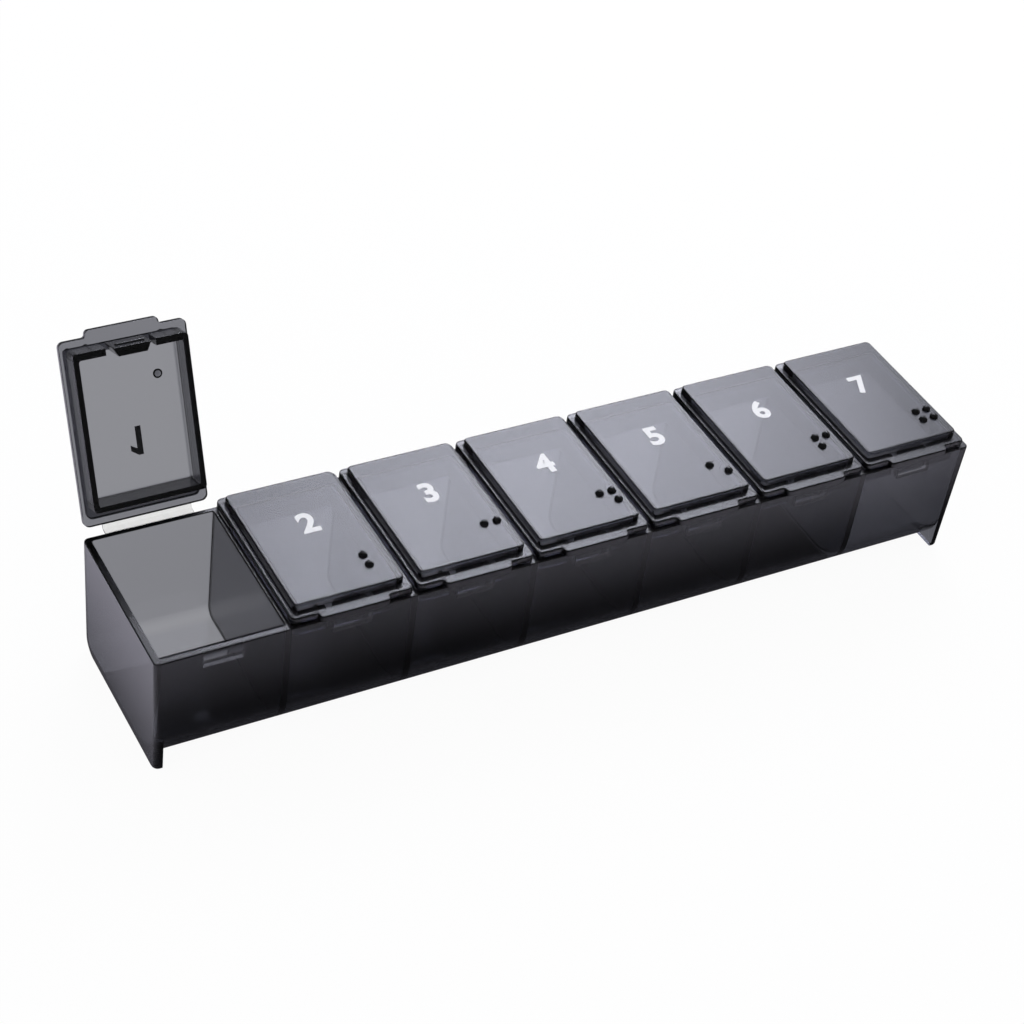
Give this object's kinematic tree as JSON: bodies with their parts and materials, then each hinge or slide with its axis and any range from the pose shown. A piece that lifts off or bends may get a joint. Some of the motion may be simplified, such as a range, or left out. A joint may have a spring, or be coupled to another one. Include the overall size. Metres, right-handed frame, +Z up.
{
  "type": "weekly pill organizer",
  "caption": "Long single-row pill organizer: a smoke-grey tray split into day cells, each under a hinged snap lid with a raised panel, thumb tab and tactile dots.",
  "frame": {"origin": "on the flat underside, under the middle of the tray", "axes": "+X along the row of cells from the first day to the last, +Y from front to back, +Z up"},
  "size_m": [0.1974, 0.0592, 0.0683],
  "materials": {
    "smoke_tray": "gloss",
    "smoke_lid": "gloss",
    "clear_film": "gloss"
  },
  "bodies": {
    "tray_body": {"tray": "smoke_tray", "hinge_tray_leaf_sunday": "clear_film", "hinge_tray_leaf_monday": "clear_film", "hinge_tray_leaf_tuesday": "clear_film", "hinge_tray_leaf_wednesday": "clear_film", "hinge_tray_leaf_thursday": "clear_film", "hinge_tray_leaf_friday": "clear_film", "hinge_tray_leaf_saturday": "clear_film"},
    "sunday_lid": {"lid_sunday": "smoke_lid", "hinge_lid_leaf_sunday": "clear_film"},
    "monday_lid": {"lid_monday": "smoke_lid", "hinge_lid_leaf_monday": "clear_film"},
    "tuesday_lid": {"lid_tuesday": "smoke_lid", "hinge_lid_leaf_tuesday": "clear_film"},
    "wednesday_lid": {"lid_wednesday": "smoke_lid", "hinge_lid_leaf_wednesday": "clear_film"},
    "thursday_lid": {"lid_thursday": "smoke_lid", "hinge_lid_leaf_thursday": "clear_film"},
    "friday_lid": {"lid_friday": "smoke_lid", "hinge_lid_leaf_friday": "clear_film"},
    "saturday_lid": {"lid_saturday": "smoke_lid", "hinge_lid_leaf_saturday": "clear_film"}
  },
  "joints": [
    {"name": "sunday_hinge", "type": "hinge", "parent": "tray_body", "child": "sunday_lid", "pos_m": [-0.084, 0.02115, 0.03005], "axis": [-1, 0, 0], "range_deg": [-113, 67]},
    {"name": "monday_hinge", "type": "hinge", "parent": "tray_body", "child": "monday_lid", "pos_m": [-0.056, 0.02115, 0.03005], "axis": [-1, 0, 0], "range_deg": [0, 180]},
    {"name": "tuesday_hinge", "type": "hinge", "parent": "tray_body", "child": "tuesday_lid", "pos_m": [-0.028, 0.02115, 0.03005], "axis": [-1, 0, 0], "range_deg": [0, 180]},
    {"name": "wednesday_hinge", "type": "hinge", "parent": "tray_body", "child": "wednesday_lid", "pos_m": [0, 0.02115, 0.03005], "axis": [-1, 0, 0], "range_deg": [0, 180]},
    {"name": "thursday_hinge", "type": "hinge", "parent": "tray_body", "child": "thursday_lid", "pos_m": [0.028, 0.02115, 0.03005], "axis": [-1, 0, 0], "range_deg": [0, 180]},
    {"name": "friday_hinge", "type": "hinge", "parent": "tray_body", "child": "friday_lid", "pos_m": [0.056, 0.02115, 0.03005], "axis": [-1, 0, 0], "range_deg": [0, 180]},
    {"name": "saturday_hinge", "type": "hinge", "parent": "tray_body", "child": "saturday_lid", "pos_m": [0.084, 0.02115, 0.03005], "axis": [-1, 0, 0], "range_deg": [0, 180]}
  ]
}
